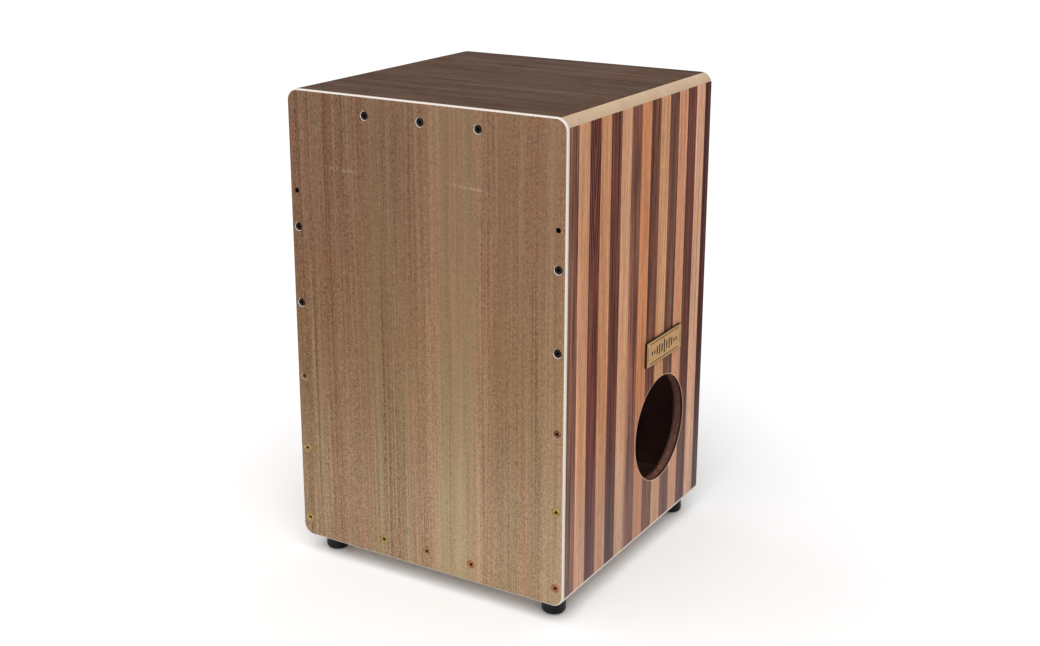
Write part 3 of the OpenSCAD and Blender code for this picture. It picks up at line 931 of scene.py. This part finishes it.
def makeTapa():
    kit = tapa
    low, high = corners("tapa_core")
    face = corners("tapa_veneer")[0].y
    skin = low.y - face
    thick = high.y - face
    width, height = high.x - low.x, high.z - low.z
    centre = (0.0, (low.z + high.z) / 2)
    spots = [spot for row in screwPlaces().values() for spot in row]
    keyRadius = mounts["left_key_hole"]["dims"]["r_mm"] * mm

    def outline(inset):
        return roundRect(width, height, drum["cornerRadius"], inset, centre, 12)

    def place(u, v, depth):
        return Vector((u, face + depth, v))

    step = kit["arris"] - kit["veneerDrop"]
    edge = [(kit["arris"] + 0.12 * mm, 0.0), (kit["arris"] - 0.06 * mm, 0.05 * mm), (step, skin)]
    sinkMouth = [(0.10 * mm, 0.0), (0.02 * mm, 0.08 * mm), (0.0, skin)]
    keyMouth = [(0.10 * mm, 0.0), (0.0, 0.10 * mm), (0.0, skin)]
    holes = [roundHole(spot, kit["sinkRadius"], sinkMouth) for spot in spots]
    holes += [roundHole(spot, keyRadius, keyMouth, 28) for spot in boltSpots()]
    bm = bmesh.new()
    drilledPlate(bm, outline, edge, holes, place)
    newPiece("tapaFaceVeneer", bm, "drum", "tapaFace", ["tapa_veneer"])

    edge = [(step, skin)]
    for k in range(1, 8):
        a = math.pi / 2 * k / 7
        edge.append((step * (1 - math.sin(a)), skin + kit["roundDepth"] * (1 - math.cos(a))))
    edge += [(0.0, thick - 0.35 * mm), (0.12 * mm, thick - 0.1 * mm), (0.3 * mm, thick)]
    sink, shank = kit["sinkRadius"], kit["shankHole"]
    slope = [(-0.02 * mm, skin), (shank - sink, skin + sink - shank), (shank - sink, thick)]
    holes = [roundHole(spot, sink, slope) for spot in spots]
    holes += [roundHole(spot, keyRadius, [(0.0, skin), (0.0, thick)], 28) for spot in boltSpots()]
    bm = bmesh.new()
    drilledPlate(bm, outline, edge, holes, place)
    newPiece("tapaPlyCore", bm, "drum", "ply", ["tapa_core"])


plateScrew = {
    "headRadius": 4.0 * mm,
    "shankRadius": 1.75 * mm,
    "dome": 0.12 * mm,
    "cross": {"length": 5.4 * mm, "width": 1.35 * mm, "depth": 1.5 * mm},
    "turns": {"top": 12, "left": 30, "right": 52, "bottom": 71},  # degrees, where the crosses stopped
    "core": 1.2 * mm,
    "pitch": 1.6 * mm,
    "point": 3 * mm,
}


def makeTapaScrews():
    kit = plateScrew
    r, s, dome = kit["headRadius"], kit["shankRadius"], kit["dome"]
    profile = [(0, 0), (r * 0.6, 0.02 * mm), (r - 0.35 * mm, 0.07 * mm), (r - 0.1 * mm, dome),
               (r, dome + 0.12 * mm), (s + 0.15 * mm, r - s), (s, r - s + 0.5 * mm),
               (s, 4.2 * mm), (0, 4.2 * mm)]
    head = crossHead(profile, kit["cross"])
    for name, spots in screwPlaces().items():
        low, high = corners(name)
        row = name.split("_")[0]
        turn = kit["turns"][row]
        places = [aim((x, low.y, z), (0, 1, 0), turn + 37 * i) for i, (x, z) in enumerate(spots)]
        drivenScrews(row + "TapaScrews", "drum", "plateScrew", name, head, places,
                     (4.0 * mm, high.y - low.y, kit["core"], s, kit["pitch"], kit["point"]))


# name plate: plain border lines and a row of sound bars

badge = {
    "cornerRadius": 1.5 * mm,
    "groove": 0.35 * mm,
    "margin": 3.0 * mm,
    "borderLine": 1.0 * mm,
    "borderStop": 6 * mm,
    "bars": 11,
    "barWidth": 2.8 * mm,
    "barPitch": 5.4 * mm,
    "tallest": 15.0 * mm,
}


def capsule(centre, width, height):
    # outline(grow) of a slot with round ends
    def outline(grow):
        w, h = width + 2 * grow, height + 2 * grow
        return roundRect(w, h, min(w, h) / 2 * 0.98, 0.0, centre, 4)
    return outline


def makeBadge():
    kit = badge
    low, high = corners("name_plate")
    thick = high.x - low.x
    width, height = high.y - low.y, high.z - low.z
    centre = ((low.y + high.y) / 2, (low.z + high.z) / 2)

    def outline(inset):
        return roundRect(width, height, kit["cornerRadius"], inset, centre, 6)

    def place(u, v, depth):
        return Vector((high.x - depth, u, v))

    groove = [(0.08 * mm, 0.0), (0.0, 0.08 * mm), (-0.1 * mm, kit["groove"])]
    slots = []
    reach = (kit["bars"] - 1) / 2
    for i in range(kit["bars"]):
        t = (i - reach) / reach
        swell = math.cos(t * math.pi / 2) ** 0.8 * (0.45 + 0.55 * abs(math.cos(t * 9.5)))
        tall = max(kit["barWidth"] * 1.6, kit["tallest"] * swell)
        spot = (centre[0] + (i - reach) * kit["barPitch"], centre[1])
        slots.append((capsule(spot, kit["barWidth"], tall), groove))
    line, stop = kit["borderLine"], kit["borderStop"]
    inY, inZ = width / 2 - kit["margin"], height / 2 - kit["margin"]
    for side in (-1, 1):
        slots.append((capsule((centre[0], centre[1] + side * inZ), 2 * inY - stop, line), groove))
        slots.append((capsule((centre[0] + side * inY, centre[1]), line, 2 * inZ - stop), groove))
    edge = [(0.18 * mm, 0.0), (0.05 * mm, 0.05 * mm), (0.0, 0.2 * mm),
            (0.0, thick - 0.1 * mm), (0.1 * mm, thick)]
    bm = bmesh.new()
    drilledPlate(bm, outline, edge, slots, place)
    newPiece("namePlate", bm, "drum", "plate", ["name_plate"])


# feet with their washers and screws

footKit = {
    "edgeRadius": 4.0 * mm,
    "recessRadius": 5.5 * mm,
    "screwHole": 2.05 * mm,
    "topRadius": 12.5 * mm,
    "baseRadius": 11.5 * mm,
    "names": ["foot_front_left", "foot_front_right", "foot_rear_left", "foot_rear_right"],
}


def makeFeet():
    kit = footKit
    roof = corners("foot_washers")[1].z
    for name in kit["names"]:
        low, high = corners(name)
        tall = high.z - low.z
        top, base, edge = kit["topRadius"], kit["baseRadius"], kit["edgeRadius"]
        neck, fall = top - 0.8 * mm, tall - 3.2 * mm
        profile = [(kit["screwHole"], tall), (top - 0.6 * mm, tall), (top - 0.15 * mm, tall - 0.2 * mm),
                   (top, tall - 0.6 * mm), (top - 0.2 * mm, tall - 1.8 * mm),
                   (top - 0.75 * mm, tall - 2.3 * mm), (neck, fall)]
        for k in range(1, 6):
            t = k / 6
            waist = 0.25 * mm * math.sin(math.pi * t)
            profile.append((neck + (base - neck) * t - waist, fall + (edge - fall) * t))
        for k in range(7):
            a = math.pi / 2 * k / 6
            profile.append((base - edge * (1 - math.cos(a)), edge * (1 - math.sin(a))))
        profile += [(kit["recessRadius"] + 0.5 * mm, 0.0), (kit["recessRadius"], 0.5 * mm),
                    (kit["recessRadius"], roof), (kit["screwHole"], roof)]
        bm = bmesh.new()
        spot = Vector((middle(name).x, middle(name).y, low.z))
        lathe(bm, profile, Matrix.Translation(spot), 72, closed=True)
        words = name.split("_")
        newPiece("foot" + words[1].title() + words[2].title(), bm, "drum", "rubber", [name], 30)


footScrew = {
    "washerBore": 2.05 * mm,
    "shankRadius": 2.0 * mm,
    "core": 1.4 * mm,
    "pitch": 1.8 * mm,
    "point": 3 * mm,
    "cross": {"length": 4.2 * mm, "width": 1.0 * mm, "depth": 1.3 * mm},
}


def footCentres():
    return [(middle(n).x, middle(n).y) for n in footKit["names"]]


def makeFootHardware():
    kit = footScrew
    low, high = corners("foot_washers")
    outer = (high.x - low.x) / 2 - footCentres()[1][0]
    thick = high.z - low.z
    bm = bmesh.new()
    for x, y in footCentres():
        lathe(bm, [(kit["washerBore"], 0.0), (outer - 0.15 * mm, 0.0), (outer, 0.15 * mm),
                   (outer, thick - 0.15 * mm), (outer - 0.15 * mm, thick), (kit["washerBore"], thick)],
              Matrix.Translation(Vector((x, y, low.z))), 40, closed=True)
    newPiece("footWashers", bm, "drum", "zinc", ["foot_washers"], 30)

    screwLow, screwHigh = corners("foot_screws")
    head = low.z - screwLow.z
    s = kit["shankRadius"]
    profile = [(0, -head), (1.4 * mm, -head + 0.05 * mm), (2.6 * mm, -head + 0.3 * mm),
               (3.5 * mm, -head + 1.0 * mm), (3.95 * mm, -0.35 * mm), (3.85 * mm, -0.02 * mm),
               (s, -0.02 * mm), (s, 1.6 * mm), (0, 1.6 * mm)]
    places = []
    for i, (x, y) in enumerate(footCentres()):
        turn = Matrix.Rotation(math.radians(20 + 31 * i), 4, "Z")
        places.append(Matrix.Translation(Vector((x, y, low.z))) @ turn)
    head = crossHead(profile, kit["cross"])
    drivenScrews("footScrews", "drum", "zinc", "foot_screws", head, places,
                 (1.5 * mm, screwHigh.z - low.z, kit["core"], s, kit["pitch"], kit["point"]))


# snare bar, wire sets and adjusters

snare = {
    "gauge": 0.28 * mm,
    "coilPitch": 1.5 * mm,
    "wires": 12,
    "stepsPerTurn": 9,
    "clipHole": 1.55 * mm,
    "boltHole": 2.55 * mm,
    "clipScrewInset": 4.0 * mm,
    "clipScrewPitch": 24 * mm,
    "clipThick": 1.0 * mm,
    "wireLength": 64 * mm,
    "clipScrewCross": {"length": 3.0 * mm, "width": 0.8 * mm, "depth": 0.9 * mm},
}


def coil(bm, x, y, low, high, radius, gauge, pitch, steps):
    turns = (high - low) / pitch
    count = int(turns * steps)
    rings = []
    for k in range(count + 1):
        t = k / count
        a = 2 * math.pi * turns * t
        out = Vector((math.cos(a), math.sin(a), 0))
        up = Vector((-math.sin(a), math.cos(a), pitch / (2 * math.pi * radius))).normalized()
        side = up.cross(out)
        centre = Vector((x, y, low + (high - low) * t)) + out * (radius - gauge)
        rings.append([
            centre + (out * math.cos(b) + side * math.sin(b)) * gauge
            for b in (2 * math.pi * i / 5 for i in range(5))
        ])
    loft(bm, rings)


def clipSpots(node):
    mid = middle(node)
    z = corners(node)[0].z + snare["clipScrewInset"]
    return [(mid.x + s * snare["clipScrewPitch"] / 2, z) for s in (-1, 1)]


def makeWireSets():
    kit = snare
    barLow, barHigh = corners("snare_bar")
    thick = kit["clipThick"]
    clipFront = corners("snare_packers")[0].y - thick
    for side in ("left", "right"):
        node = side + "_snare_wires"
        low, high = corners(node)
        radius = (clipFront + 0.2 * mm - low.y) / 2
        wide = high.x - low.x
        centre = (middle(node).x, (barLow.z + barHigh.z) / 2)
        bm = bmesh.new()
        holes = [roundHole(s, kit["clipHole"], [(0.0, 0.0), (0.0, thick)], 24) for s in clipSpots(node)]
        flatBar(bm, (wide, thick, barHigh.z - barLow.z), centre, clipFront, 2 * mm, 0.15 * mm, holes)
        for x in spread(centre[0] - wide / 2 + 2.5 * mm, centre[0] + wide / 2 - 2.5 * mm, kit["wires"]):
            coil(bm, x, low.y + radius, high.z - kit["wireLength"], high.z, radius, kit["gauge"],
                 kit["coilPitch"], kit["stepsPerTurn"])
        newPiece(side + "SnareWires", bm, "snare", "wire", [node], 40)


def makeSnareBar():
    kit = snare
    wireNodes = ("left_snare_wires", "right_snare_wires")
    low, high = corners("snare_bar")
    thick = high.y - low.y
    clips = [spot for node in wireNodes for spot in clipSpots(node)]
    through = [(0.2 * mm, 0.0), (0.0, 0.2 * mm), (0.0, thick - 0.2 * mm), (0.2 * mm, thick)]
    holes = [roundHole(s, kit["boltHole"], through, 32) for s in boltSpots()]
    holes += [roundHole(s, kit["clipHole"], through, 24) for s in clips]
    bm = bmesh.new()
    flatBar(bm, high - low, (0.0, (low.z + high.z) / 2), low.y, 1.2 * mm, 0.3 * mm, holes)
    newPiece("snareBar", bm, "snare", "steel", ["snare_bar"])

    low, high = corners("snare_packers")
    wireLow, wireHigh = corners("left_snare_wires")
    size = (wireHigh.x - wireLow.x, high.y - low.y, high.z - low.z)
    bm = bmesh.new()
    for node in wireNodes:
        centre = (middle(node).x, (low.z + high.z) / 2)
        holes = [roundHole(s, kit["clipHole"], [(0.0, 0.0), (0.0, size[1])], 24) for s in clipSpots(node)]
        flatBar(bm, size, centre, low.y, 1 * mm, 0.5 * mm, holes, 4)
    newPiece("snarePackers", bm, "snare", "batten", ["snare_packers"])

    low, high = corners("snare_clip_screws")
    profile = inMm((0, 0), (1.7, 0.05), (2.4, 0.3), (2.7, 0.8),
                   (2.7, 1.48), (1.5, 1.48), (1.5, 2.3), (0, 2.3))
    places = [aim((x, low.y, z), (0, 1, 0), 15 + 43 * i) for i, (x, z) in enumerate(clips)]
    drivenScrews("snareClipScrews", "snare", "zinc", "snare_clip_screws",
                 crossHead(profile, kit["clipScrewCross"]), places,
                 (2.2 * mm, high.y - low.y, 1.25 * mm, 1.5 * mm, 0.5 * mm))


adjusterKit = {
    "headRadius": 4.25 * mm,
    "headHigh": 5.0 * mm,
    "boltRadius": 2.5 * mm,
    "pitch": 0.8 * mm,
    "keyFlats": 4.0 * mm,
    "keyDepth": 2.5 * mm,
    "knurls": 36,
    "knurlDepth": 0.14 * mm,
    "threadDepth": 0.42 * mm,
}


def makeAdjusters():
    kit = adjusterKit
    r, tall = kit["headRadius"], kit["headHigh"]
    bm = bmesh.new()
    rings = []
    turn = [math.pi * i / kit["knurls"] for i in range(kit["knurls"] * 2)]
    deep = kit["knurlDepth"]
    for radius, height, knurl in (
        (r - 0.5 * mm, 0.0, 0), (r - 0.05 * mm, 0.45 * mm, 0), (r, 0.7 * mm, deep),
        (r, tall - 0.3 * mm, deep), (r - 0.1 * mm, tall, 0),
    ):
        reach = [radius, radius - knurl] * kit["knurls"]
        rings.append([Vector((d * math.cos(a), d * math.sin(a), height)) for d, a in zip(reach, turn)])
    loft(bm, rings)
    socket = bmesh.new()
    point = kit["keyFlats"] / 2 / math.cos(math.pi / 6)
    hexagon = [(point * math.cos(math.pi * i / 3), point * math.sin(math.pi * i / 3)) for i in range(6)]
    loft(socket, [[(u, v, h) for u, v in hexagon] for h in (-1 * mm, kit["keyDepth"])])
    mouth = bmesh.new()
    lip = [(0, -0.3 * mm), (point + 0.4 * mm, -0.3 * mm), (point - 0.35 * mm, 0.45 * mm), (0, 0.45 * mm)]
    lathe(mouth, lip, Matrix.Rotation(0.03, 4, "Z"), 36)
    cutters = [meshFrom(socket, "socket", 25), meshFrom(mouth, "mouth", 25)]
    head = cutAway(meshFrom(bm, "boltHead", 25), cutters)
    for side in ("left", "right"):
        node = side + "_adjuster"
        low, high = corners(node)
        place = aim((middle(node).x, low.y, middle(node).z), (0, 1, 0), 8)
        bm = bmesh.new()
        stamp(bm, head, [place])
        threadedRod(bm, place, tall - 0.05 * mm, high.y - low.y, kit["boltRadius"] - kit["threadDepth"],
                    kit["boltRadius"], kit["pitch"], steps=28, ringsPerTurn=10)
        newPiece(side + "AdjusterBolt", bm, side + "_bolt", "blackBolt", [node], 25)


def makeBracketScrews():
    low, high = corners("bracket_screws")
    inner = drum["innerX"] - 1.2 * mm
    radius = (high.z - low.z) / 2
    z = (low.z + high.z) / 2
    ys = (low.y + radius, high.y - radius)
    profile = inMm((0, -1.6), (1.5, -1.5), (2.3, -1.0), (2.7, -0.02), (1.5, -0.02), (1.5, 1.4), (0, 1.4))
    head = crossHead(profile, {"length": 3.0 * mm, "width": 0.8 * mm, "depth": 1.0 * mm})
    places = []
    for k, side in enumerate((-1, 1)):
        for i, y in enumerate(ys):
            places.append(aim((side * inner, y, z), (side, 0, 0), 25 + 50 * i + 17 * k))
    drivenScrews("bracketScrews", "drum", "zinc", "bracket_screws", head, places,
                 (1.3 * mm, high.x - inner, 1.1 * mm, 1.5 * mm, 1.2 * mm, 2 * mm))


makeTapa()
makeTapaScrews()
makeBadge()
print("plate, screws and name plate made")
makeFeet()
makeFootHardware()
print("feet made")
makeWireSets()
makeSnareBar()
makeAdjusters()
makeBracketScrews()
print("snare and adjusters made")

paint("topWalnut", "top_veneer")
paint("backWalnut", "back_veneer")
paint("darkStrip", "left_dark_strips", "right_dark_strips")
paint("lightStrip", "left_light_strips", "right_light_strips")
paint("board", "top_panel", "bottom_panel", "left_side_panel", "back_panel")
paint("holeBoard", "right_side_panel")
rearBattens = ("rear_top_batten", "rear_bottom_batten", "rear_left_batten", "rear_right_batten")
paint("batten", "front_top_batten", "front_bottom_batten", *rearBattens)
paint("zinc", "left_adjuster_bracket", "right_adjuster_bracket")
easeEdges(0.5 * mm, *rearBattens)
easeEdges(0.2 * mm, "left_adjuster_bracket", "right_adjuster_bracket")


# floor, light and camera

studio = {
    "floor": 0.95,
    "sky": 0.45,
    "suns": [  # azimuth and height in degrees, spread in degrees, strength
        (25, 58, 50, 1.9),
        (-70, 50, 60, 0.5),
        (150, 60, 60, 0.3),
    ],
}


def toward(azimuth, height):
    # the direction of a lamp or camera, in degrees round the drum and above the floor
    a, e = math.radians(azimuth), math.radians(height)
    return Vector((math.sin(a) * math.cos(e), -math.cos(a) * math.cos(e), math.sin(e)))


def makeStudio():
    kit = studio
    where = startMaterial("paleFloor")
    colour = blend(noise(where, 3.0, 2.0), grey(kit["floor"]), grey(kit["floor"] - 0.02))
    sockets = desk["shader"].inputs
    desk["tree"].links.new(colour, sockets["Base Color"])
    sockets["Roughness"].default_value = 0.9
    sockets["Specular IOR Level"].default_value = 0.1
    bm = bmesh.new()
    lathe(bm, [(0, 0), (2, 0), (30, 0)], Matrix.Identity(4), 64)
    floor = addObject("floor", meshFrom(bm, "floor", 30))
    floor.data.materials.append(desk["material"])
    world = bpy.data.worlds.new("studioSky")
    world.use_nodes = True
    sky = next(n for n in world.node_tree.nodes if n.type == "BACKGROUND")
    sky.inputs["Color"].default_value = (1, 1, 1, 1)
    sky.inputs["Strength"].default_value = kit["sky"]
    bpy.context.scene.world = world
    for i, (azimuth, height, spread, strength) in enumerate(kit["suns"]):
        light = bpy.data.lights.new("softSun%d" % i, "SUN")
        light.angle, light.energy = math.radians(spread), strength
        lamp = addObject("softSun%d" % i, light)
        lamp.rotation_euler = (-toward(azimuth, height)).to_track_quat("-Z", "Y").to_euler()


viewpoint = {
    "azimuth": 31.17,
    "elevation": 16.14,
    "roll": 0.087,
    "distance": 1465.0 * mm,
    "target": (10.3 * mm, 0.0, 291.4 * mm),
    "lens": 51.16,
    "shift": (0.005, -0.0577),
}


def makeCamera():
    kit = viewpoint
    back = toward(kit["azimuth"], kit["elevation"])
    data = bpy.data.cameras.new("camera")
    data.sensor_width, data.lens = 36.0, kit["lens"]
    data.shift_x, data.shift_y = kit["shift"]
    data.clip_start, data.clip_end = 0.05, 100.0
    camera = addObject("camera", data)
    camera.location = Vector(kit["target"]) + back * kit["distance"]
    turn = (-back).to_track_quat("-Z", "Y").to_matrix() @ Matrix.Rotation(math.radians(kit["roll"]), 3, "Z")
    camera.rotation_euler = turn.to_euler()
    bpy.context.scene.camera = camera


makeStudio()
makeCamera()
bpy.context.scene.view_settings.view_transform = "Standard"
print("studio and camera made")
